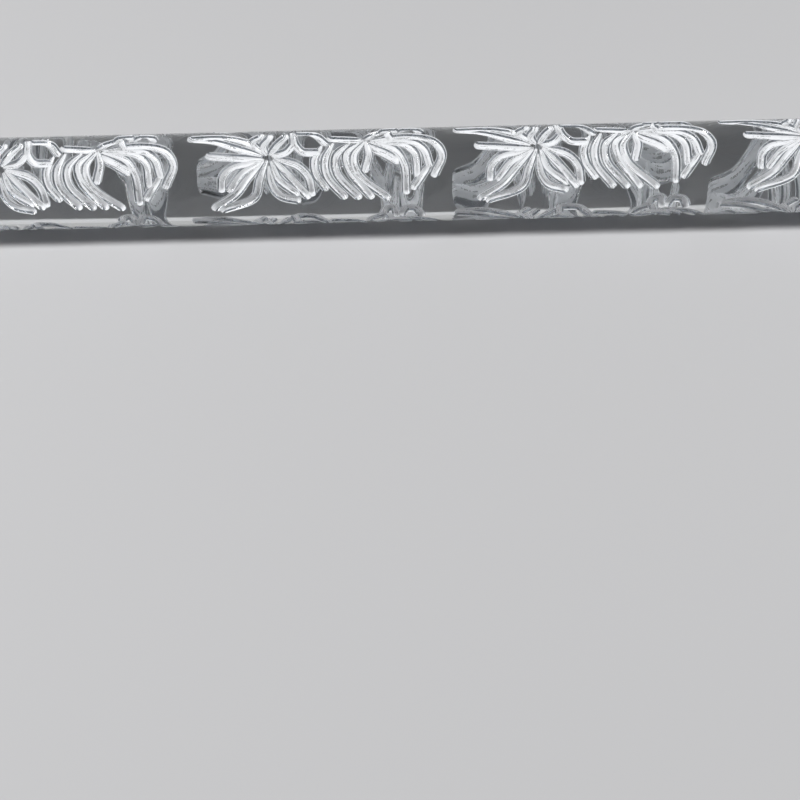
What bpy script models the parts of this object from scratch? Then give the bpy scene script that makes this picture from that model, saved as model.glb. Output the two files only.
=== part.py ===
"""A clear acrylic rolling pin without handles, engraved all over with rows of paired flowers.

The pin is one solid rod. Its skin is drawn flat, as the net that comes off when the rod is unrolled:
x runs along the pin and y runs around it. The flowers' grooves are cut into one tile of that net, the
tile is repeated, and the net is rolled up and closed with a margin and a chamfered face at each end.
The pin lies along X, with its middle at the origin.
"""

import itertools
import math

import bmesh
import bpy
from mathutils import Vector
from mathutils.geometry import delaunay_2d_cdt, intersect_point_line

# Driving dimensions, in metres
PIN_LENGTH = 0.330
PIN_DIAMETER = 0.025
END_CHAMFER = 0.0008
MOTIF_PITCH = 0.0705
LEAST_MARGIN = 0.012
GROOVE_WIDTH = 0.0026
BROAD_GROOVE_WIDTH = 0.0033
GROOVE_DEPTH = 0.0011
PLAIN_STEP = 0.0065
PLAIN_GAP = 0.0009
WELD_GAP = 0.00006

# Counts and angles: each motif is turned round the pin from the one on its left, and the whole
# pattern is turned from the rod's front, -Y, towards its top
ROWS_AROUND = 3
FACETS_PER_ROW = 10
TURN_PER_MOTIF = math.radians(6.6)
PATTERN_TURN = math.radians(97)
SMOOTH_ANGLE = math.radians(25)

# What follows from them. Narrow flat facets make up the round skin, with the middle of one at the
# bottom, and PIN_DIAMETER is measured across them.
PIN_RADIUS = PIN_DIAMETER / 2
FACET_ANGLE = math.tau / ROWS_AROUND / FACETS_PER_ROW
ROW_SPACING = math.pi * PIN_DIAMETER / ROWS_AROUND
ROW_CLIMB = PIN_RADIUS * TURN_PER_MOTIF
MOTIFS_ALONG = int((PIN_LENGTH - 2 * LEAST_MARGIN) / MOTIF_PITCH)

# All these shares are of the motif pitch along the pin and of the row spacing around it, from the
# heart of the right-hand flower. One motif's tile of the net ends at this line, which runs from left
# to right between the motif and the one above it.
TILE_TOP_SHARES = ((-0.688, 0.39), (-0.60, 0.26), (-0.45, 0.26), (-0.40, 0.29), (-0.26, 0.30),
                   (-0.16, 0.33), (0.0, 0.32), (0.05, 0.345), (0.095, 0.352), (0.13, 0.33),
                   (0.17, 0.33), (0.23, 0.38), (0.312, 0.39))

# Grooves that swell from a point at a flower's heart, each from the heart to its round tip
RIGHT_FLOWER_SHARES = {
    "stem": ((-0.015, 0.02), (-0.06, 0.04), (-0.13, 0.065)),
    "far_left_rib": ((-0.168, -0.05), (-0.192, -0.19), (-0.186, -0.33), (-0.155, -0.46)),
    "outer_left_rib": ((-0.125, -0.02), (-0.152, -0.19), (-0.145, -0.36), (-0.088, -0.56)),
    "middle_left_rib": ((-0.065, -0.02), (-0.11, -0.15), (-0.108, -0.33), (-0.035, -0.57)),
    "inner_left_rib": ((-0.03, -0.02), (-0.072, -0.13), (-0.062, -0.30), (0.012, -0.57)),
    "long_rib": ((-0.01, -0.02), (-0.045, -0.16), (-0.03, -0.34), (0.073, -0.59)),
    "short_rib": ((0.0, -0.015), (0.01, -0.14), (-0.002, -0.295)),
    "inner_right_rib": ((0.02, -0.01), (0.10, -0.09), (0.142, -0.28), (0.147, -0.53)),
    "lower_right_rib": ((0.035, -0.005), (0.13, -0.03), (0.18, -0.15), (0.19, -0.37)),
    "middle_right_rib": ((0.04, 0.005), (0.17, -0.01), (0.215, -0.12), (0.232, -0.27)),
    "outer_right_rib": ((0.025, 0.015), (0.15, 0.07), (0.245, -0.01), (0.282, -0.19), (0.255, -0.37)),
    "rib_link": ((0.232, -0.29), (0.18, -0.49)),
    "bud_stem": ((0.0, 0.03), (0.02, 0.10), (0.05, 0.15)),
}
LEFT_FLOWER_SHARES = {
    "long_petal_top": ((-0.385, -0.10), (-0.45, 0.06), (-0.555, 0.175), (-0.655, 0.17)),
    "long_petal_foot": ((-0.395, -0.12), (-0.49, -0.01), (-0.575, 0.095), (-0.655, 0.135)),
    "short_petal": ((-0.385, -0.165), (-0.48, -0.135), (-0.58, -0.105)),
    "low_left_petal": ((-0.395, -0.18), (-0.50, -0.235), (-0.535, -0.33), (-0.54, -0.43)),
    "low_left_petal_inner": ((-0.39, -0.185), (-0.46, -0.29), (-0.505, -0.44)),
    "deep_left_petal": ((-0.385, -0.19), (-0.44, -0.34), (-0.49, -0.50), (-0.57, -0.64)),
    "deep_petal_return": ((-0.37, -0.19), (-0.398, -0.37), (-0.42, -0.54), (-0.54, -0.67)),
    "low_bottom_petal": ((-0.362, -0.25), (-0.35, -0.43), (-0.32, -0.54), (-0.265, -0.59)),
    "bottom_petal": ((-0.35, -0.20), (-0.328, -0.36), (-0.265, -0.51)),
    "low_right_petal": ((-0.34, -0.18), (-0.295, -0.31), (-0.225, -0.54)),
    "right_petal": ((-0.335, -0.16), (-0.255, -0.24), (-0.214, -0.37), (-0.205, -0.51)),
    "right_arc": ((-0.345, -0.13), (-0.295, -0.08), (-0.272, 0.01)),
    "upright_petal": ((-0.355, -0.105), (-0.33, 0.02), (-0.305, 0.13)),
    "upright_stamen": ((-0.372, -0.105), (-0.385, 0.0), (-0.365, 0.13)),
    "arched_petal": ((-0.385, -0.09), (-0.425, 0.07), (-0.40, 0.16)),
}
BROAD_PETAL_SHARES = {
    "broad_petal": ((0.008, -0.05), (0.06, -0.13), (0.108, -0.215)),
}
# Grooves that are round at both ends: the bud, its leaves and the leaf between the flowers
LEAF_SHARES = {
    "bud": ((0.06, 0.16), (0.068, 0.24), (0.102, 0.265), (0.108, 0.17)),
    "left_leaf": ((0.09, 0.06), (0.08, 0.13)),
    "right_leaf": ((0.13, 0.18), (0.145, 0.25), (0.185, 0.23), (0.20, 0.15)),
    "hooked_leaf": ((-0.277, 0.17), (-0.268, 0.02), (-0.238, -0.09), (-0.185, -0.11)),
    "bridge_leaf": ((-0.26, 0.19), (-0.20, 0.165), (-0.155, 0.01)),
}


class Groove:
    """One V-shaped groove in the flat net, along a bent centre line."""

    def __init__(self, shares, width, pointed, column, row):
        """pointed tells whether the groove swells from a point at its root, or starts round."""
        self.line = [net_point(share, column, row) for share in shares]
        self.reach = width / 2
        self.pointed = pointed

    def chains(self):
        """The lines that the net is cut along: both rims and the floor, all from root to tip."""
        runs = [(b - a).normalized() for a, b in zip(self.line, self.line[1:])]
        rims = ([], [])
        for i, point in enumerate(self.line):
            ahead = runs[min(i, len(runs) - 1)]
            middle = (runs[max(i - 1, 0)] + ahead).normalized()
            offset = middle.orthogonal() * self.reach / middle.dot(ahead)
            rims[0].append(point + offset)
            rims[1].append(point - offset)
        root, floor = self.line[0] - runs[0] * self.reach, self.line
        if self.pointed:
            root, floor = self.line[0], self.line[1:]
            rims = [rim[1:] for rim in rims]
        tip = self.line[-1] + runs[-1] * self.reach
        return [[root, *chain, tip] for chain in (*rims, floor)]

    def depth_at(self, point):
        """How deep the groove is at a point of the net."""
        deepest = 0
        for i, (a, b) in enumerate(zip(self.line, self.line[1:])):
            share, gap = share_and_gap(point, a, b)
            reach = self.reach * share if self.pointed and i == 0 else self.reach
            deepest = max(deepest, GROOVE_DEPTH * (reach - gap) / self.reach)
        return deepest


def net_point(share, column=0, row=0):
    """A place in the flat net, from its shares and its motif's column and row."""
    along = share[0] + column
    around = share[1] + row
    return Vector((along * MOTIF_PITCH, around * ROW_SPACING + along * ROW_CLIMB))


def share_and_gap(point, a, b):
    """Where on the line from a to b a point's nearest place lies, and how far away it is."""
    share = min(max(intersect_point_line(point, a, b)[1], 0), 1)
    return share, (point - a.lerp(b, share)).length


def tile_outline():
    """One tile's corners, anticlockwise, with a corner at each facet on its two upright sides."""
    top = [net_point(share) for share in TILE_TOP_SHARES]
    foot = [net_point(share, row=-1) for share in TILE_TOP_SHARES]
    right_side = [foot[-1].lerp(top[-1], i / FACETS_PER_ROW) for i in range(1, FACETS_PER_ROW)]
    left_side = [top[0].lerp(foot[0], i / FACETS_PER_ROW) for i in range(1, FACETS_PER_ROW)]
    return foot + right_side + top[::-1] + left_side


def tile_box(outline):
    """The lowest and highest x and y of a tile."""
    low = Vector([min(place) for place in zip(*outline)])
    high = Vector([max(place) for place in zip(*outline)])
    return low, high


def grooves_near(outline):
    """The tile's own grooves, and those of its neighbours that lie within its box."""
    tables = [(RIGHT_FLOWER_SHARES, GROOVE_WIDTH, True), (LEFT_FLOWER_SHARES, GROOVE_WIDTH, True),
              (BROAD_PETAL_SHARES, BROAD_GROOVE_WIDTH, True), (LEAF_SHARES, GROOVE_WIDTH, False)]
    low, high = tile_box(outline)
    found = []
    for table, width, pointed in tables:
        for shares, column, row in itertools.product(table.values(), (-1, 0, 1), (-1, 0, 1)):
            groove = Groove(shares, width, pointed, column, row)
            places = [place for chain in groove.chains() for place in chain]
            if any(low.x < p.x < high.x and low.y < p.y < high.y for p in places):
                found.append(groove)
    return found


def plain_points(outline, grooves):
    """Places on the bare skin between the grooves, which keep it round."""
    low, high = tile_box(outline)
    lines = list(zip(outline, outline[1:] + outline[:1]))
    for groove in grooves:
        lines += [pair for chain in groove.chains() for pair in zip(chain, chain[1:])]
    step_y = ROW_SPACING / FACETS_PER_ROW
    points = []
    for column in range(1, int((high.x - low.x) / PLAIN_STEP)):
        for row in range(1, int((high.y - low.y) / step_y)):
            place = low + Vector((column * PLAIN_STEP, (row + column % 2 / 2) * step_y))
            if all(share_and_gap(place, a, b)[1] > PLAIN_GAP for a, b in lines):
                points.append(place)
    return points


def engraved_tile():
    """One tile of the net as triangles: the places of its corners, their depths and the faces."""
    outline = tile_outline()
    grooves = grooves_near(outline)
    points = list(outline)
    edges = []
    for groove in grooves:
        for chain in groove.chains():
            first = len(points)
            points += chain
            edges += [(i, i + 1) for i in range(first, len(points) - 1)]
    points += plain_points(outline, grooves)
    tile = list(range(len(outline)))
    places, _, faces, _, _, sources = delaunay_2d_cdt(points, edges, [tile], 0, WELD_GAP)
    depths = [max(groove.depth_at(place) for groove in grooves) for place in places]
    return places, depths, [face for face, source in zip(faces, sources) if source]


def rolled(place, depth, column, row):
    """A place of the net, moved to its motif's column and row and rolled on to the rod."""
    first_x, last_x = TILE_TOP_SHARES[0][0], TILE_TOP_SHARES[-1][0]
    middle_share = (first_x + last_x) / 2
    steps = column - (MOTIFS_ALONG - 1) / 2
    x = place.x + (steps - middle_share) * MOTIF_PITCH
    around = place.y + row * ROW_SPACING + (steps - middle_share) * ROW_CLIMB
    return skin_point(x, PATTERN_TURN + around / PIN_RADIUS, depth)


def skin_point(x, angle, depth=0):
    """The point this deep under the faceted skin, at an angle that grows from -Y towards +Z."""
    from_lowest = angle + math.pi / 2
    off_middle = from_lowest - round(from_lowest / FACET_ANGLE) * FACET_ANGLE
    radius = PIN_RADIUS / math.cos(off_middle) - depth
    return (x, -radius * math.cos(angle), radius * math.sin(angle))


def nearest_corner(vert):
    """The angle of the skin's corner line that is nearest to a vertex."""
    from_lowest = math.atan2(vert.co.z, -vert.co.y) + math.pi / 2
    return (math.floor(from_lowest / FACET_ANGLE) + 0.5) * FACET_ANGLE - math.pi / 2


def roll_up_net(mesh):
    """Lays every tile of the net round the rod, and welds the tiles to each other."""
    places, depths, faces = engraved_tile()
    for column in range(MOTIFS_ALONG):
        for row in range(ROWS_AROUND):
            corners = {}
            for i in set(itertools.chain(*faces)):
                corners[i] = mesh.verts.new(rolled(places[i], depths[i], column, row))
            for face in faces:
                mesh.faces.new([corners[i] for i in face])
    bmesh.ops.remove_doubles(mesh, verts=mesh.verts, dist=WELD_GAP / 2)


def close_end(mesh, side):
    """Draws one end of the skin out to its margin, then in over the chamfer, and caps it."""
    open_edges = [edge for edge in mesh.edges if edge.is_boundary and edge.verts[0].co.x * side > 0]
    for depth in (0, END_CHAMFER):
        x = side * (PIN_LENGTH / 2 - END_CHAMFER + depth)
        drawn = bmesh.ops.extrude_edge_only(mesh, edges=open_edges)["geom"]
        open_edges = [part for part in drawn if isinstance(part, bmesh.types.BMEdge)]
        for vert in (part for part in drawn if isinstance(part, bmesh.types.BMVert)):
            vert.co = skin_point(x, nearest_corner(vert), depth)
    bmesh.ops.contextual_create(mesh, geom=open_edges)


def acrylic():
    """Clear polished acrylic."""
    material = bpy.data.materials.new("clear_acrylic")
    material.use_nodes = True
    shader = material.node_tree.nodes["Principled BSDF"]
    shader.inputs["Base Color"].default_value = (0.93, 0.95, 0.96, 1)
    shader.inputs["Metallic"].default_value = 0
    shader.inputs["Roughness"].default_value = 0.04
    shader.inputs["IOR"].default_value = 1.49
    shader.inputs["Transmission Weight"].default_value = 1
    return material


def make_pin(collection):
    """The whole pin: its engraved skin, rolled up and closed at both ends."""
    mesh = bmesh.new()
    roll_up_net(mesh)
    for side in (-1, 1):
        close_end(mesh, side)
    bmesh.ops.recalc_face_normals(mesh, faces=mesh.faces)
    data = bpy.data.meshes.new("engraved_pin")
    mesh.to_mesh(data)
    mesh.free()
    data.shade_smooth()
    data.set_sharp_from_angle(angle=SMOOTH_ANGLE)
    data.materials.append(acrylic())
    collection.objects.link(bpy.data.objects.new("engraved_pin", data))


def main():
    """Clears the scene and builds the pin."""
    for leftover in list(bpy.data.objects):
        bpy.data.objects.remove(leftover)
    collection = bpy.data.collections.new("embossed_rolling_pin")
    bpy.context.scene.collection.children.link(collection)
    make_pin(collection)


main()
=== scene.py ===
"""The looks of a clear acrylic rolling pin, engraved all over with rows of paired flowers.

The pin is one solid piece. Its skin is drawn flat, as the net that comes off when the rod is unrolled:
x runs along the pin and y runs around it. A round-nosed cutter's path is laid out for each groove, the
depth that it leaves is worked out over one tile of the net, and the tile is repeated and rolled up.
"""

import itertools
import math

import bmesh
import bpy
import numpy as np
from mathutils import Matrix, Vector
from mathutils.geometry import delaunay_2d_cdt


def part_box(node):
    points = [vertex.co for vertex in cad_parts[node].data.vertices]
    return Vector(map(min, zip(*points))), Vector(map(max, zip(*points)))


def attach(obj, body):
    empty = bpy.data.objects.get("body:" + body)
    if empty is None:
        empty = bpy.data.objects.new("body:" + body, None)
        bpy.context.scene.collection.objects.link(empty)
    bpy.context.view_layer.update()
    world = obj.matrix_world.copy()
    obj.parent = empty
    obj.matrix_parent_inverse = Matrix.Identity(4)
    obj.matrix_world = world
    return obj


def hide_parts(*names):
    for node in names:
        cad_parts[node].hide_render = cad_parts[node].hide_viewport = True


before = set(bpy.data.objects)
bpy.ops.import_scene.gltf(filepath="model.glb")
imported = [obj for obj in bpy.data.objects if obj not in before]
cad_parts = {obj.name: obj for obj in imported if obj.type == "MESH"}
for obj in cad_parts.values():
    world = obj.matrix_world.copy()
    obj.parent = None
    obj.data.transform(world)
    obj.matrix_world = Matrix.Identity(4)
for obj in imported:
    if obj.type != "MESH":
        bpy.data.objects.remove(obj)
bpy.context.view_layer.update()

MM = 0.001

# The pin, from its CAD solid and from the sizes that the solid is made with
PIN_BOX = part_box("engraved_pin")
PIN_LENGTH = PIN_BOX[1].x - PIN_BOX[0].x
PIN_RADIUS = -PIN_BOX[0].z
FLOOR_LEVEL = PIN_BOX[0].z
MOTIF_PITCH = 70.5 * MM
GROOVE_WIDTH = 2.6 * MM
BROAD_GROOVE_WIDTH = 3.3 * MM
GROOVE_DEPTH = 1.1 * MM
END_CHAMFER = 0.8 * MM
MOTIFS_ALONG = 4
ROWS_AROUND = 3
TURN_PER_MOTIF = math.radians(6.6)
PATTERN_TURN = math.radians(97)
ROW_SPACING = math.tau * PIN_RADIUS / ROWS_AROUND
ROW_CLIMB = PIN_RADIUS * TURN_PER_MOTIF

# How fine the mesh is: the steps between its points in the grooves, on the plain skin (counted in
# fine steps), along a tile's edge and along a groove's path, and how near two points are that are one
FINE_STEP = 0.42 * MM
PLAIN_STEPS = 3
EDGE_STEP = 0.75 * MM
PATH_STEP = 0.5 * MM
WELD_GAP = 0.004 * MM
# How deep is still flat, how near a groove the coarse skin comes, how thin a land between two
# grooves is left out, how far apart two points are that follow each other on a rim, and how far
# off the skin the line between them may be
FLAT_DEPTH = 0.002 * MM
PLAIN_REACH = 0.3 * MM
THIN_LAND = 0.09 * MM
RIM_STEP = 1.0 * MM
RIM_SAG = 0.2 * MM
# How many steps bring a point on to a rim or a ridge, and what stands in there for no slope at all
NEWTON_STEPS = 3
TINY = 1e-12
# An even triangle's height as a share of its side, and the kind of triangulation that is asked for,
# which fills the whole hull of its points
TRIANGLE_HEIGHT_SHARE = math.sqrt(0.75)
WHOLE_HULL = 0
# Shares of the fine step: how far a place may be pulled on to a line or a corner, and how near the
# tile's outline the lattice comes. Below this ratio of their slopes two rims never meet in a corner.
LINE_PULL = 0.8
CORNER_PULL = 0.7
OUTLINE_CLEARANCE = 0.8
LEAST_TURN = 0.1
# How far the pattern of the cutter's marks is moved on from one groove to the next, and per motif
TRACK_SHIFT = 17.3 * MM
MOTIF_TRACK_SHIFT = 5.9 * MM

# All these shares are of the motif pitch along the pin and of the row spacing around it, from the
# heart of the right-hand flower. One motif's tile of the net ends at this line, which runs from left
# to right between the motif and the one above it.
TILE_TOP_SHARES = ((-0.688, 0.39), (-0.60, 0.26), (-0.45, 0.26), (-0.40, 0.29), (-0.26, 0.30),
                   (-0.16, 0.33), (0.0, 0.32), (0.05, 0.345), (0.095, 0.352), (0.13, 0.33),
                   (0.17, 0.33), (0.23, 0.38), (0.312, 0.39))

# Grooves that swell from a point at a flower's heart, each from the heart to its round tip
RIGHT_FLOWER_SHARES = {
    "stem": ((-0.015, 0.02), (-0.06, 0.04), (-0.13, 0.065)),
    "far_left_rib": ((-0.168, -0.05), (-0.192, -0.19), (-0.186, -0.33), (-0.155, -0.46)),
    "outer_left_rib": ((-0.125, -0.02), (-0.152, -0.19), (-0.145, -0.36), (-0.088, -0.56)),
    "middle_left_rib": ((-0.065, -0.02), (-0.11, -0.15), (-0.108, -0.33), (-0.035, -0.57)),
    "inner_left_rib": ((-0.03, -0.02), (-0.072, -0.13), (-0.062, -0.30), (0.012, -0.57)),
    "long_rib": ((-0.01, -0.02), (-0.045, -0.16), (-0.03, -0.34), (0.073, -0.59)),
    "short_rib": ((0.0, -0.015), (0.01, -0.14), (-0.002, -0.295)),
    "inner_right_rib": ((0.02, -0.01), (0.10, -0.09), (0.142, -0.28), (0.147, -0.53)),
    "lower_right_rib": ((0.035, -0.005), (0.13, -0.03), (0.18, -0.15), (0.19, -0.37)),
    "middle_right_rib": ((0.04, 0.005), (0.17, -0.01), (0.215, -0.12), (0.232, -0.27)),
    "outer_right_rib": ((0.025, 0.015), (0.15, 0.07), (0.245, -0.01), (0.282, -0.19), (0.255, -0.37)),
    "rib_link": ((0.232, -0.29), (0.18, -0.49)),
    "bud_stem": ((0.0, 0.03), (0.02, 0.10), (0.05, 0.15)),
}
LEFT_FLOWER_SHARES = {
    "long_petal_top": ((-0.385, -0.10), (-0.45, 0.06), (-0.555, 0.175), (-0.655, 0.17)),
    "long_petal_foot": ((-0.395, -0.12), (-0.49, -0.01), (-0.575, 0.095), (-0.655, 0.135)),
    "short_petal": ((-0.385, -0.165), (-0.48, -0.135), (-0.58, -0.105)),
    "low_left_petal": ((-0.395, -0.18), (-0.50, -0.235), (-0.535, -0.33), (-0.54, -0.43)),
    "low_left_petal_inner": ((-0.39, -0.185), (-0.46, -0.29), (-0.505, -0.44)),
    "deep_left_petal": ((-0.385, -0.19), (-0.44, -0.34), (-0.49, -0.50), (-0.57, -0.64)),
    "deep_petal_return": ((-0.37, -0.19), (-0.398, -0.37), (-0.42, -0.54), (-0.54, -0.67)),
    "low_bottom_petal": ((-0.362, -0.25), (-0.35, -0.43), (-0.32, -0.54), (-0.265, -0.59)),
    "bottom_petal": ((-0.35, -0.20), (-0.328, -0.36), (-0.265, -0.51)),
    "low_right_petal": ((-0.34, -0.18), (-0.295, -0.31), (-0.225, -0.54)),
    "right_petal": ((-0.335, -0.16), (-0.255, -0.24), (-0.214, -0.37), (-0.205, -0.51)),
    "right_arc": ((-0.345, -0.13), (-0.295, -0.08), (-0.272, 0.01)),
    "upright_petal": ((-0.355, -0.105), (-0.33, 0.02), (-0.305, 0.13)),
    "upright_stamen": ((-0.372, -0.105), (-0.385, 0.0), (-0.365, 0.13)),
    "arched_petal": ((-0.385, -0.09), (-0.425, 0.07), (-0.40, 0.16)),
}
BROAD_PETAL_SHARES = {
    "broad_petal": ((0.008, -0.05), (0.06, -0.13), (0.108, -0.215)),
}
# Grooves that are round at both ends: the bud, its leaves and the leaf between the flowers
LEAF_SHARES = {
    "bud": ((0.06, 0.16), (0.068, 0.24), (0.102, 0.265), (0.108, 0.17)),
    "left_leaf": ((0.09, 0.06), (0.08, 0.13)),
    "right_leaf": ((0.13, 0.18), (0.145, 0.25), (0.185, 0.23), (0.20, 0.15)),
    "hooked_leaf": ((-0.277, 0.17), (-0.268, 0.02), (-0.238, -0.09), (-0.185, -0.11)),
    "bridge_leaf": ((-0.26, 0.19), (-0.20, 0.165), (-0.155, 0.01)),
}
# How much of a pointed groove's length it takes to reach its full width, and how wide it starts
SWELL_SHARE = 0.33
ROOT_WIDTH_SHARE = 0.42

# The clear skin: faint lines along the rod, handling marks and specks of dust. Here and below, a
# range is the stretch of a feature's noise, or of the way across a groove, over which it comes in.
ACRYLIC_IOR = 1.49
SKIN_COLOUR = (0.95, 0.965, 0.97, 1)
SKIN_ROUGHNESS = (0.01, 0.06)
LINE_LENGTH = 40 * MM
LINE_WIDTH = 0.25 * MM
LINE_HEIGHT = 0.0004 * MM
MARK_SIZE = 2.5 * MM
MARK_HEIGHT = 0.0015 * MM
MARK_DETAIL = 4.0
MARK_RANGE = (0.45, 0.75)
SPECK_SPACING = 4 * MM
SPECK_SIZE = 0.14 * MM
SPECK_PICK = 0.7
SPECK_ROUGHNESS = 0.6
SPECK_CLEARNESS = 0.2

# The grooves: their roughness and clearness from no frost to full frost, their streaks, grain and
# clouds of frost, and on each side, as shares of the half width, the wall, which is clear and has
# a painted shade that darkens its colour, and the whitened rim
GROOVE_COLOUR = (0.955, 0.972, 1, 1)
# Painted shade: the dark grey that the walls are coloured, standing in for the dark outlines of steep walls
WALL_PAINTED_SHADE_COLOUR = (0.36, 0.4, 0.45, 1)
GROOVE_ROUGHNESS = (0.06, 0.4)
GROOVE_CLEARNESS = (0.97, 0.04)
CUT_DETAIL = 3.0
STREAK_LENGTH = 6 * MM
STREAKS_ACROSS = 3.4
STREAK_HEIGHT = 0.035 * MM
STREAK_RANGE = (0.4, 0.5)
STREAK_FROST = 0.75
GRAIN_SIZE = 0.3 * MM
GRAIN_HEIGHT = 0.012 * MM
GRAIN_RANGE = (0.42, 0.56)
GRAIN_FROST = 0.3
CLOUD_SIZE = 1.2 * MM
CLOUD_RANGE = (0.35, 0.55)
CLOUD_FROST = 0.35
WALL_RANGE = (0.58, 0.7)
WALL_FROST = 0.08
RIM_RANGE = (0.84, 0.94)
RIM_FROST = 0.9

# The end faces: the rings of the turning tool, with clouds of more and less gloss. The wave texture
# has a rate of its own, in radians per unit of length.
RING_SPACING = 0.35 * MM
RING_HEIGHT = 0.004 * MM
RING_WAVER = 0.6
WAVE_RATE = 20
END_CLOUD_RANGE = (0.3, 0.7)
END_ROUGHNESS = (0.22, 0.3)
END_CLEARNESS = (0.75, 0.6)
# Their number among the pin's materials, after the skin's, 0, and the grooves', 1
END_MATERIAL = 2

# The studio: an even floor and world, and lamps, each with its place, its size and the share of the
# plain level of light that it gives the floor. The world gives its share, and looks as bright as
# WORLD_SEEN. A ray with less than half a matt bounce has had none.
FLOOR_COLOUR = (0.58, 0.58, 0.59, 1)
FLOOR_ROUGHNESS = 0.9
FLOOR_RADIUS = 0.95
FLOOR_SIDES = 128
FLOOR_GAP = 0.05 * MM
WORLD_COLOUR = (1, 1, 1, 1)
WORLD_SHARE = 0.05
WORLD_SEEN = 0.45
HALF_BOUNCE = 0.5
LAMPS = (("left_lamp", (-0.95, -0.09, 0.85), (0.16, 0.6), 0.53),
         ("right_lamp", (0.95, -0.09, 0.85), (0.16, 0.6), 0.42))

# The camera, as the photograph's rod and its repeated flowers place it
CAMERA_PLACE = (-10.6 * MM, -202.0 * MM, 241.8 * MM)
CAMERA_YAW = math.radians(1.53)
CAMERA_TILT = math.radians(28.68)
CAMERA_ROLL = math.radians(-2.54)
LENS_MM = 51.08
CLIP_START = 10 * MM


def net_point(share, column=0, row=0):
    """A place in the flat net, from its shares and its motif's column and row."""
    along = share[0] + column
    around = share[1] + row
    return np.array((along * MOTIF_PITCH, around * ROW_SPACING + along * ROW_CLIMB))


def curve_through(points, step):
    """A smooth centripetal Catmull-Rom curve through the points, as a chain about a step apart."""
    knots = np.vstack([2 * points[0] - points[1], *points, 2 * points[-1] - points[-2]])
    chain = []
    for a, b, c, d in zip(knots, knots[1:], knots[2:], knots[3:]):
        t1 = np.linalg.norm(b - a) ** 0.5
        t2 = t1 + np.linalg.norm(c - b) ** 0.5
        t3 = t2 + np.linalg.norm(d - c) ** 0.5
        count = max(2, round(np.linalg.norm(c - b) / step))
        t = np.linspace(t1, t2, count, endpoint=False)[:, None]
        ab = ((t1 - t) * a + t * b) / t1
        bc = ((t2 - t) * b + (t - t1) * c) / (t2 - t1)
        cd = ((t3 - t) * c + (t - t2) * d) / (t3 - t2)
        abc = ((t2 - t) * ab + t * bc) / t2
        bcd = ((t3 - t) * bc + (t - t1) * cd) / (t3 - t1)
        chain.append(((t2 - t) * abc + (t - t1) * bcd) / (t2 - t1))
    return np.vstack([*chain, points[-1:]])


class Groove:
    """One round-bottomed groove in the flat net, left by a cutter that sinks and rises on its way."""

    def __init__(self, shares, width, pointed, column, row):
        """pointed tells whether the groove swells from a point at its root, or starts round."""
        self.path = curve_through(np.array([net_point(share, column, row) for share in shares]), PATH_STEP)
        self.run = np.diff(self.path, axis=0)
        self.length = np.linalg.norm(self.run, axis=1)
        self.travel = np.concatenate([[0], np.cumsum(self.length)])
        width_share = np.ones(len(self.travel))
        if pointed:
            swell = np.clip(self.travel / self.travel[-1] / SWELL_SHARE, 0, 1)
            width_share = ROOT_WIDTH_SHARE + (1 - ROOT_WIDTH_SHARE) * np.sin(swell * math.pi / 2)
        self.depth = GROOVE_DEPTH * width_share ** 2
        self.bend = GROOVE_DEPTH / (width / 2) ** 2
        self.low = self.path.min(axis=0) - width
        self.high = self.path.max(axis=0) + width

    def nearest(self, places):
        """The piece of the path from which the cutter reaches each place deepest, the share along it,
        the offset from there, and how deep it reaches."""
        rise = np.diff(self.depth)
        offset = places[:, None] - self.path[:-1]
        share = ((offset * self.run).sum(axis=2) + rise / (2 * self.bend)) / self.length ** 2
        share = np.clip(share, 0, 1)
        gap = offset - share[..., None] * self.run
        reach = self.depth[:-1] + share * rise - self.bend * (gap ** 2).sum(axis=2)
        piece = reach.argmax(axis=1)
        picked = (np.arange(len(places)), piece)
        return piece, share[picked], gap[picked], reach[picked]

    def field(self, places):
        """How far below the skin the cutter reaches at each place, negative outside, and its slope."""
        height = np.full(len(places), -GROOVE_DEPTH)
        slope = np.zeros((len(places), 2))
        near = np.nonzero(((places > self.low) & (places < self.high)).all(axis=1))[0]
        if len(near):
            _, _, gap, reach = self.nearest(places[near])
            height[near] = np.maximum(reach, -GROOVE_DEPTH)
            slope[near] = -2 * self.bend * gap
        return height, slope

    def track(self, places):
        """How far along the groove each place lies, and how far to its left in half widths."""
        piece, share, gap, _ = self.nearest(places)
        run = self.run[piece] / self.length[piece, None]
        travel = self.travel[piece] + share * self.length[piece]
        half_width = np.sqrt((self.depth[piece] + share * np.diff(self.depth)[piece]) / self.bend)
        return travel, (run[:, 0] * gap[:, 1] - run[:, 1] * gap[:, 0]) / half_width

    def way_round(self, places):
        """How far round the rim each place lies: out along the left side, round the tip and back."""
        piece, share, gap, _ = self.nearest(places)
        run = self.run[piece] / self.length[piece, None]
        left = run[:, 0] * gap[:, 1] - run[:, 1] * gap[:, 0]
        ahead = (run * gap).sum(axis=1)
        travel = self.travel[piece] + share * self.length[piece]
        whole, half_turn = self.travel[-1], math.pi * BROAD_GROOVE_WIDTH / 2
        at_tip = (piece == len(self.run) - 1) & (share == 1)
        at_root = (piece == 0) & (share == 0)
        turned = np.arctan2(ahead, left) / math.pi + 0.5
        way = np.where(left > 0, travel, 2 * whole + half_turn - travel)
        way[at_tip] = whole + half_turn * turned[at_tip]
        back = np.arctan2(-ahead, -left) / math.pi + 0.5
        way[at_root] = 2 * whole + half_turn * (1 + back[at_root])
        return way


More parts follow.
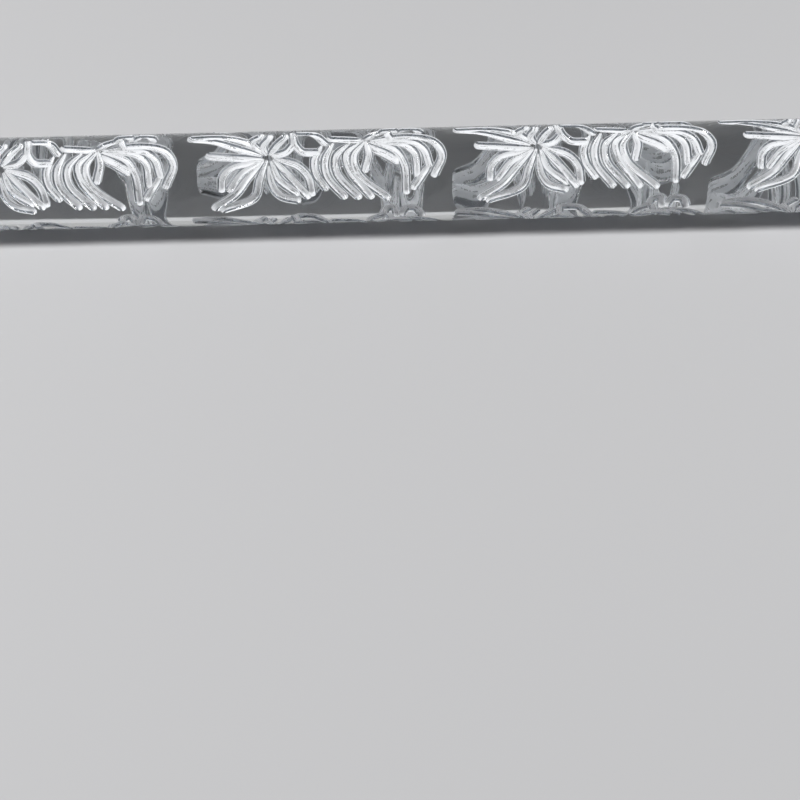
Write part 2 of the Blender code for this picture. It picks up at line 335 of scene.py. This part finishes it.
class Engraving:
    """All the grooves that touch one tile."""

    def __init__(self, low, high):
        tables = [(RIGHT_FLOWER_SHARES, GROOVE_WIDTH, True), (LEFT_FLOWER_SHARES, GROOVE_WIDTH, True),
                  (BROAD_PETAL_SHARES, BROAD_GROOVE_WIDTH, True), (LEAF_SHARES, GROOVE_WIDTH, False)]
        self.grooves = []
        for table, width, pointed in tables:
            for shares, column, row in itertools.product(table.values(), (-1, 0, 1), (-1, 0, 1)):
                groove = Groove(shares, width, pointed, column, row)
                if (groove.low < high).all() and (groove.high > low).all():
                    self.grooves.append(groove)

    def fields(self, places):
        """Each groove's reach and slope at each place: arrays of grooves by places."""
        found = [groove.field(places) for groove in self.grooves]
        return np.array([reach for reach, _ in found]), np.array([slope for _, slope in found])

    def pair_at(self, places, pair):
        """The reach and slope at each place of the two grooves that are named for it."""
        reach, slope = self.fields(places)
        here = np.arange(len(places))
        return reach[pair, here], slope[pair, here]

    def top_two(self, places):
        """The deepest groove and the next at each place: their numbers, reaches and slopes."""
        pair = np.argsort(-self.fields(places)[0], axis=0)[:2]
        return pair, *self.pair_at(places, pair)

    def owned_tracks(self, corners, owner):
        """Where each triangle's corners lie in the groove that owns it: travel, place across and 0."""
        tracks = np.zeros((*corners.shape[:2], 3))
        for number, groove in enumerate(self.grooves):
            own = owner == number
            if own.any():
                travel, across = groove.track(corners[own].reshape(-1, 2))
                travel += number * TRACK_SHIFT
                tracks[own, :, :2] = np.stack([travel, across], axis=1).reshape(-1, corners.shape[1], 2)
        return tracks


def tile_outline():
    """One tile's corners, anticlockwise. Opposite sides match, so that tiles join."""
    top = np.array([net_point(share) for share in TILE_TOP_SHARES])
    top = split_evenly(top)
    foot = top - net_point((0, 1))
    left = split_evenly(np.array([foot[0], top[0]]))
    right = left + net_point((1, 0))
    return np.vstack([foot[:-1], right[:-1], top[:0:-1], left[:0:-1]])


def split_evenly(chain):
    """A chain of points with more of them on it, at most an edge step apart."""
    parts = []
    for a, b in zip(chain, chain[1:]):
        count = math.ceil(np.linalg.norm(b - a) / EDGE_STEP)
        parts.append(a + (b - a) * (np.arange(count) / count)[:, None])
    return np.vstack([*parts, chain[-1:]])


def gap_to_outline(places, outline):
    """How far each place lies from the outline, and whether it lies within."""
    ends = np.roll(outline, -1, axis=0)
    run = ends - outline
    offset = places[:, None] - outline
    share = np.clip((offset * run).sum(axis=2) / (run ** 2).sum(axis=1), 0, 1)
    gap = np.linalg.norm(offset - share[..., None] * run, axis=2).min(axis=1)
    above = outline[:, 1] > places[:, None, 1]
    crossing = above != (ends[:, 1] > places[:, None, 1])
    with np.errstate(divide="ignore", invalid="ignore"):
        meet = outline[:, 0] + (places[:, None, 1] - outline[:, 1]) / run[:, 1] * run[:, 0]
    within = (crossing & (places[:, None, 0] < meet)).sum(axis=1) % 2 == 1
    return gap, within


def lattice(low, high):
    """A lattice of even triangles over a box: its places and each place's column and row."""
    rows = math.ceil((high[1] - low[1]) / (FINE_STEP * TRIANGLE_HEIGHT_SHARE))
    columns = math.ceil((high[0] - low[0]) / FINE_STEP) + rows
    row, column = np.meshgrid(np.arange(rows + 1), np.arange(-rows, columns), indexing="ij")
    x = low[0] + (column + row / 2) * FINE_STEP
    y = low[1] + row * FINE_STEP * TRIANGLE_HEIGHT_SHARE
    kept = (x >= low[0]) & (x <= high[0])
    return np.stack([x[kept], y[kept]], axis=1), column[kept], row[kept]


def slid(places, engraving, pair, kind):
    """Places moved on to a groove's rim, on to the ridge between two, or to the corner of both."""
    for _ in range(NEWTON_STEPS):
        (reach_a, reach_b), (slope_a, slope_b) = engraving.pair_at(places, pair)
        if kind == "corner":
            slopes = np.stack([slope_a, slope_b], axis=1)
            reaches = np.stack([reach_a, reach_b], axis=1)[..., None]
            shift = (np.linalg.pinv(slopes, rcond=LEAST_TURN) @ reaches)[..., 0]
        else:
            rise = reach_a if kind == "rim" else reach_a - reach_b
            way = slope_a if kind == "rim" else slope_a - slope_b
            shift = (rise / np.maximum((way ** 2).sum(axis=1), TINY))[:, None] * way
        places = places - shift
    return places


def snapped(places, engraving):
    """Moves the places that lie near a rim or a ridge on to it.

    Returns the places, and for each the set of lines that it now lies on: a rim is named by its
    groove and a ridge by its two grooves. A thin land between two rims is pinched to one line."""
    pair, reach, slope = engraving.top_two(places)
    steep = np.maximum(np.linalg.norm(slope[0], axis=1), TINY)
    across = slope[0] - slope[1]
    width = np.maximum(np.linalg.norm(across, axis=1), TINY)
    to_rim = np.abs(reach[0]) / steep
    to_tie = (reach[0] - reach[1]) / width
    tie_reach = reach[0] - (slope[0] * across).sum(axis=1) / width * to_tie
    tied = (to_tie < FINE_STEP / 2) & (tie_reach > -THIN_LAND * steep)
    kinds = np.full(len(places), "none", dtype=object)
    kinds[to_rim < FINE_STEP / 2] = "rim"
    kinds[tied & (to_tie < to_rim)] = "ridge"
    kinds[tied & (tie_reach < 0)] = "pinch"
    maybe = np.nonzero((to_rim < FINE_STEP / 2) & (to_tie < FINE_STEP / 2))[0]
    corner = slid(places[maybe], engraving, pair[:, maybe], "corner")
    left = np.abs(engraving.pair_at(corner, pair[:, maybe])[0]).max(axis=0)
    shift = np.linalg.norm(corner - places[maybe], axis=1)
    kinds[maybe[(shift < CORNER_PULL * FINE_STEP) & (left < FLAT_DEPTH)]] = "corner"
    moved = places.copy()
    for kind in ("rim", "ridge", "pinch", "corner"):
        chosen = np.nonzero(kinds == kind)[0]
        moved[chosen] = slid(places[chosen], engraving, pair[:, chosen], kind)
    strayed = np.linalg.norm(moved - places, axis=1) > LINE_PULL * FINE_STEP
    moved[strayed] = places[strayed]
    kinds[strayed] = "none"
    return moved, [lines_of(kind, pair[:, i]) for i, kind in enumerate(kinds)]


def lines_of(kind, pair):
    """The names of the lines that a place of this kind lies on, between this pair of grooves."""
    first, second = int(pair[0]), int(pair[1])
    ridge = (min(first, second), max(first, second))
    both = {first, second, ridge}
    return {"none": set(), "rim": {first}, "ridge": {ridge}, "pinch": both, "corner": both}[kind]


def rim_pairs(places, lines, engraving):
    """Pairs of places that follow each other on a groove's rim."""
    pairs = []
    for number, groove in enumerate(engraving.grooves):
        here = np.array([i for i, found in enumerate(lines) if number in found], dtype=int)
        if len(here) < 2:
            continue
        here = here[np.argsort(groove.way_round(places[here]))]
        beside = np.roll(here, -1)
        run = np.linalg.norm(places[beside] - places[here], axis=1)
        sag = engraving.fields((places[beside] + places[here]) / 2)[0].max(axis=0)
        whole = (run < RIM_STEP) & (np.abs(sag) < RIM_SAG)
        pairs += zip(here[whole], beside[whole])
    return pairs


def tile_points(outline, engraving):
    """The tile's points and the edges that keep its rims and ridges whole."""
    places, column, row = lattice(outline.min(axis=0), outline.max(axis=0))
    gap, within = gap_to_outline(places, outline)
    kept = within & (gap > FINE_STEP * OUTLINE_CLEARANCE)
    places, column, row = places[kept], column[kept], row[kept]
    moved, lines = snapped(places, engraving)
    deepest = engraving.fields(moved)[0].max(axis=0)
    on_line = np.array([bool(found) for found in lines])
    plain = (deepest < -PLAIN_REACH) & (column % PLAIN_STEPS == 0) & (row % PLAIN_STEPS == 0)
    chosen = np.nonzero((deepest > 0) | on_line | plain)[0]
    places, lines = moved[chosen], [lines[i] for i in chosen]
    first = len(outline)
    points = [Vector(place) for place in outline] + [Vector(place) for place in places]
    edges = [(first + a, first + b) for a, b in rim_pairs(places, lines, engraving)]
    number = {(column[i], row[i]): here for here, i in enumerate(chosen)}
    for (c, r), here in number.items():
        for beside in ((c + 1, r), (c, r + 1), (c - 1, r + 1)):
            there = number.get(beside)
            if there is not None and any(isinstance(line, tuple) for line in lines[here] & lines[there]):
                edges.append((first + here, first + there))
    return points, edges


class Tile:
    """One tile of the net, with what lies at each corner of each of its triangles."""

    def __init__(self):
        outline = tile_outline()
        engraving = Engraving(outline.min(axis=0), outline.max(axis=0))
        points, edges = tile_points(outline, engraving)
        inside = list(range(len(outline)))
        net, _, faces, _, _, sources = delaunay_2d_cdt(points, edges, [inside], WHOLE_HULL, WELD_GAP)
        self.faces = np.array([face for face, source in zip(faces, sources) if source])
        self.net = np.array([tuple(place) for place in net])
        reach, slope = engraving.fields(self.net)
        self.depth = reach.max(axis=0)
        self.depth[self.depth < FLAT_DEPTH] = 0
        self.cut = (self.depth[self.faces] > 0).any(axis=1)
        owner = engraving.fields(self.net[self.faces].mean(axis=1))[0].argmax(axis=0)
        self.slope = slope[owner[:, None], self.faces] * self.cut[:, None, None]
        self.track = engraving.owned_tracks(self.net[self.faces], owner) * self.cut[:, None, None]


def rod_axes(around):
    """The outward and the sideways directions at places around the rod."""
    angle = PATTERN_TURN + around / PIN_RADIUS
    zero = np.zeros_like(angle)
    outward = np.stack([zero, -np.cos(angle), np.sin(angle)], axis=-1)
    sideways = np.stack([zero, np.sin(angle), np.cos(angle)], axis=-1)
    return outward, sideways


def rolled_up():
    """The whole engraved skin: its points and triangles, whether each triangle is cut, and the normals
    and the tracks at the triangles' corners."""
    tile = Tile()
    first_x, last_x = TILE_TOP_SHARES[0][0], TILE_TOP_SHARES[-1][0]
    middle_share = (first_x + last_x) / 2
    points, triangles, normals, tracks = [], [], [], []
    for column, row in itertools.product(range(MOTIFS_ALONG), range(ROWS_AROUND)):
        place = tile.net + net_point((column - (MOTIFS_ALONG - 1) / 2 - middle_share, row))
        outward, sideways = rod_axes(place[:, 1])
        radius = PIN_RADIUS - tile.depth
        point = outward * radius[:, None]
        point[:, 0] = place[:, 0]
        stretch = (PIN_RADIUS / radius)[tile.faces]
        normal = outward[tile.faces] + sideways[tile.faces] * (tile.slope[..., 1] * stretch)[..., None]
        normal[..., 0] += tile.slope[..., 0]
        normal /= np.linalg.norm(normal, axis=-1, keepdims=True)
        track = tile.track.copy()
        track[..., 0] += len(points) * MOTIF_TRACK_SHIFT
        triangles.append(tile.faces + len(tile.net) * len(points))
        points.append(point)
        normals.append(normal)
        tracks.append(track)
    cuts = np.tile(tile.cut, MOTIFS_ALONG * ROWS_AROUND)
    return np.vstack(points), np.vstack(triangles), cuts, np.vstack(normals), np.vstack(tracks)


def pin_mesh():
    """The pin's mesh: skin, grooves and both ends, as one closed surface."""
    points, triangles, cuts, normals, tracks = rolled_up()
    data = bpy.data.meshes.new("engraved_rod")
    data.from_pydata(points, [], triangles)
    for name, values in (("facing", normals), ("track", tracks)):
        layer = data.attributes.new(name, "FLOAT_VECTOR", "CORNER")
        layer.data.foreach_set("vector", values.astype(np.float32).ravel())
    data.polygons.foreach_set("material_index", cuts.astype(np.int32))
    mesh = bmesh.new()
    mesh.from_mesh(data)
    bmesh.ops.remove_doubles(mesh, verts=mesh.verts, dist=WELD_GAP)
    for side in (-1, 1):
        close_end(mesh, side)
    bmesh.ops.recalc_face_normals(mesh, faces=mesh.faces)
    mesh.to_mesh(data)
    mesh.free()
    facing = np.zeros(len(data.loops) * 3, np.float32)
    data.attributes["facing"].data.foreach_get("vector", facing)
    data.normals_split_custom_set(facing.reshape(-1, 3).tolist())
    data.attributes.remove(data.attributes["facing"])
    return data


def close_end(mesh, side):
    """Draws one end of the skin out to its margin, then in over the chamfer, and caps it."""
    layer = mesh.loops.layers.float_vector["facing"]
    open_edges = [edge for edge in mesh.edges if edge.is_boundary and edge.verts[0].co.x * side > 0]
    rings = [(PIN_LENGTH / 2 - END_CHAMFER, PIN_RADIUS), (PIN_LENGTH / 2, PIN_RADIUS - END_CHAMFER)]
    for number, (reach, radius) in enumerate(rings):
        drawn = bmesh.ops.extrude_edge_only(mesh, edges=open_edges)["geom"]
        open_edges = [part for part in drawn if isinstance(part, bmesh.types.BMEdge)]
        for vert in (part for part in drawn if isinstance(part, bmesh.types.BMVert)):
            outward = Vector((0, vert.co.y, vert.co.z)).normalized()
            vert.co = outward * radius + Vector((side * reach, 0, 0))
        faces = [part for part in drawn if isinstance(part, bmesh.types.BMFace)]
        for face in faces:
            for loop in face.loops:
                outward = Vector((0, loop.vert.co.y, loop.vert.co.z)).normalized()
                loop[layer] = (outward + Vector((side * number, 0, 0))).normalized()
    cap = bmesh.ops.contextual_create(mesh, geom=open_edges)["faces"]
    for face in cap:
        face.material_index = END_MATERIAL
        for loop in face.loops:
            loop[layer] = (side, 0, 0)


class Nodes:
    """A node tree, with short ways to add nodes to it."""

    def __init__(self, tree):
        self.tree = tree

    def fill(self, node, sockets):
        """Sets a node's sockets, each to a value or to another node's output."""
        for name, value in sockets.items():
            if isinstance(value, bpy.types.NodeSocket):
                self.tree.links.new(value, node.inputs[name])
            else:
                node.inputs[name].default_value = value

    def node(self, kind, sockets, **settings):
        """Adds a node and returns it."""
        node = self.tree.nodes.new(f"ShaderNode{kind}")
        for name, value in settings.items():
            setattr(node, name, value)
        self.fill(node, sockets)
        return node

    def add(self, kind, sockets, output=0, **settings):
        """Adds a node and returns one of its outputs."""
        return self.node(kind, sockets, **settings).outputs[output]

    def math(self, operation, first, second=0.0):
        """Adds a sum, product or other reckoning on two numbers."""
        return self.add("Math", {0: first, 1: second}, operation=operation)

    def ramp(self, value, low, high, start, end):
        """Carries a value from one range over to another, and holds it there beyond the range's ends."""
        return self.add("MapRange", {"Value": value, "From Min": low, "From Max": high,
                                     "To Min": start, "To Max": end})

    def noise(self, place, stretch, detail=2.0):
        """Noise from a place, whose size in each direction is one over the stretch."""
        scaled = self.add("VectorMath", {0: place, 1: stretch}, operation="MULTIPLY")
        return self.add("TexNoise", {"Vector": scaled, "Scale": 1.0, "Detail": detail})

    def bumps(self, *layers):
        """Stacks bumps, each a height from 0 to 1 and how high 1 is, and returns their normal."""
        normal = None
        for height, rise in layers:
            sockets = {"Height": height, "Distance": rise, "Strength": 1.0}
            if normal:
                sockets["Normal"] = normal
            normal = self.add("Bump", sockets)
        return normal


class Paint(Nodes):
    """A new material with its Principled shader."""

    def __init__(self, name, sockets):
        self.material = bpy.data.materials.new(name)
        self.material.use_nodes = True
        super().__init__(self.material.node_tree)
        self.shade(sockets)

    def shade(self, sockets):
        """Sets some of the shader's sockets."""
        self.fill(self.tree.nodes["Principled BSDF"], sockets)


def clear_skin():
    """Polished clear acrylic, with faint lines along the rod, handling marks and a few specks of dust."""
    paint = Paint("polished_acrylic", {"Base Color": SKIN_COLOUR, "IOR": ACRYLIC_IOR})
    place = paint.add("TexCoord", {}, output="Object")
    lines = paint.noise(place, (1 / LINE_LENGTH, 1 / LINE_WIDTH, 1 / LINE_WIDTH))
    marks = paint.noise(place, (1 / MARK_SIZE,) * 3, MARK_DETAIL)
    cells = paint.node("TexVoronoi", {"Vector": place, "Scale": 1 / SPECK_SPACING})
    picked = paint.ramp(paint.add("SeparateColor", {"Color": cells.outputs["Color"]}),
                        SPECK_PICK, 1, 0, SPECK_SIZE / SPECK_SPACING)
    speck = paint.math("LESS_THAN", cells.outputs["Distance"], picked)
    rough = paint.ramp(marks, *MARK_RANGE, *SKIN_ROUGHNESS)
    paint.shade({
        "Roughness": paint.math("MAXIMUM", rough, paint.math("MULTIPLY", speck, SPECK_ROUGHNESS)),
        "Transmission Weight": paint.ramp(speck, 0, 1, 1, SPECK_CLEARNESS),
        "Normal": paint.bumps((lines, LINE_HEIGHT), (marks, MARK_HEIGHT))})
    return paint.material


def engraved_groove():
    """What the cutter left: streaked frost along the groove's middle, clear walls darkened by painted
    shade, and white rims."""
    paint = Paint("engraved_acrylic", {"IOR": ACRYLIC_IOR})
    track = paint.add("Attribute", {}, output="Vector", attribute_name="track")
    across = paint.math("ABSOLUTE", paint.add("SeparateXYZ", {"Vector": track}, output="Y"))
    place = paint.add("TexCoord", {}, output="Object")
    streaks = paint.noise(track, (1 / STREAK_LENGTH, STREAKS_ACROSS, 0), CUT_DETAIL)
    grain = paint.noise(place, (1 / GRAIN_SIZE,) * 3, CUT_DETAIL)
    clouds = paint.noise(place, (1 / CLOUD_SIZE,) * 3)
    frost = paint.math("ADD", paint.ramp(streaks, *STREAK_RANGE, 0, STREAK_FROST),
                       paint.ramp(clouds, *CLOUD_RANGE, 0, CLOUD_FROST))
    frost = paint.math("ADD", frost, paint.ramp(grain, *GRAIN_RANGE, 0, GRAIN_FROST))
    frost = paint.math("MULTIPLY", frost, paint.ramp(across, *WALL_RANGE, 1, WALL_FROST))
    frost = paint.math("MAXIMUM", frost, paint.ramp(across, *RIM_RANGE, 0, RIM_FROST))
    # Painted shade: between the groove's middle and its rim, the wall's colour is mixed towards a dark
    # grey, standing in for the dark outlines of the steep walls
    painted_wall_shade = paint.math("MULTIPLY", paint.ramp(across, *WALL_RANGE, 0, 1),
                      paint.ramp(across, *RIM_RANGE, 1, 0))
    paint.shade({
        "Base Color": paint.add("MixRGB", {"Fac": painted_wall_shade, "Color1": GROOVE_COLOUR, "Color2": WALL_PAINTED_SHADE_COLOUR}),
        "Roughness": paint.ramp(frost, 0, 1, *GROOVE_ROUGHNESS),
        "Transmission Weight": paint.ramp(frost, 0, 1, *GROOVE_CLEARNESS),
        "Normal": paint.bumps((streaks, STREAK_HEIGHT), (grain, GRAIN_HEIGHT))})
    return paint.material


def turned_end():
    """The end faces, with the rings that a turning tool leaves."""
    paint = Paint("turned_end", {"Base Color": SKIN_COLOUR, "IOR": ACRYLIC_IOR})
    place = paint.add("TexCoord", {}, output="Object")
    rings = paint.add("TexWave", {"Vector": place, "Scale": math.tau / WAVE_RATE / RING_SPACING,
                                  "Distortion": RING_WAVER}, wave_type="RINGS", rings_direction="X")
    clouds = paint.noise(place, (1 / CLOUD_SIZE,) * 3)
    paint.shade({
        "Roughness": paint.ramp(clouds, *END_CLOUD_RANGE, *END_ROUGHNESS),
        "Transmission Weight": paint.ramp(clouds, *END_CLOUD_RANGE, *END_CLEARNESS),
        "Normal": paint.bumps((rings, RING_HEIGHT))})
    return paint.material


def make_pin():
    """The pin, riding on the root body in place of its CAD solid."""
    pin = bpy.data.objects.new("engraved_rod", pin_mesh())
    bpy.context.scene.collection.objects.link(pin)
    for material in (clear_skin(), engraved_groove(), turned_end()):
        pin.data.materials.append(material)
    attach(pin, "root")
    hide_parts("engraved_pin")


def make_floor():
    """A plain pale round floor."""
    mesh = bmesh.new()
    bmesh.ops.create_circle(mesh, cap_ends=True, segments=FLOOR_SIDES, radius=FLOOR_RADIUS)
    data = bpy.data.meshes.new("floor")
    mesh.to_mesh(data)
    mesh.free()
    floor = bpy.data.objects.new("floor", data)
    floor.location.z = FLOOR_LEVEL - FLOOR_GAP
    bpy.context.scene.collection.objects.link(floor)
    paint = Paint("floor", {"Base Color": FLOOR_COLOUR, "Roughness": FLOOR_ROUGHNESS})
    data.materials.append(paint.material)


def area_lamp(name, place, size, share):
    """A soft lamp, aimed at the pin, that gives the floor this share of the plain level of light."""
    data = bpy.data.lights.new(name, "AREA")
    data.shape = "RECTANGLE"
    data.size, data.size_y = size
    away = Vector(place)
    data.energy = share * math.pi ** 2 * away.length_squared * away.length / away.z
    lamp = bpy.data.objects.new(name, data)
    lamp.location = place
    lamp.rotation_euler = away.to_track_quat("Z", "Y").to_euler()
    bpy.context.scene.collection.objects.link(lamp)


def make_light():
    """Soft studio lamps, and an even pale world that the camera sees, also in gloss and through the pin."""
    for name, place, size, share in LAMPS:
        area_lamp(name, place, size, share)
    world = bpy.data.worlds.new("studio")
    world.use_nodes = True
    nodes = Nodes(world.node_tree)
    ray = nodes.node("LightPath", {})
    seen = ray.outputs["Is Camera Ray"]
    for name in ("Is Glossy Ray", "Is Transmission Ray"):
        seen = nodes.math("MAXIMUM", seen, ray.outputs[name])
    direct = nodes.math("LESS_THAN", ray.outputs["Diffuse Depth"], HALF_BOUNCE)
    strength = nodes.ramp(nodes.math("MULTIPLY", seen, direct), 0, 1, WORLD_SHARE, WORLD_SEEN)
    nodes.fill(nodes.tree.nodes["Background"], {"Color": WORLD_COLOUR, "Strength": strength})
    bpy.context.scene.world = world


def make_camera():
    """The photograph's camera."""
    data = bpy.data.cameras.new("camera")
    data.lens = LENS_MM
    data.clip_start = CLIP_START
    camera = bpy.data.objects.new("camera", data)
    turn = (Matrix.Rotation(CAMERA_YAW, 4, "Z") @ Matrix.Rotation(CAMERA_TILT, 4, "X")
            @ Matrix.Rotation(CAMERA_ROLL, 4, "Z"))
    camera.matrix_world = Matrix.Translation(CAMERA_PLACE) @ turn
    bpy.context.scene.collection.objects.link(camera)
    bpy.context.scene.camera = camera


make_camera()
make_pin()
make_floor()
make_light()
bpy.context.scene.view_settings.view_transform = "Standard"
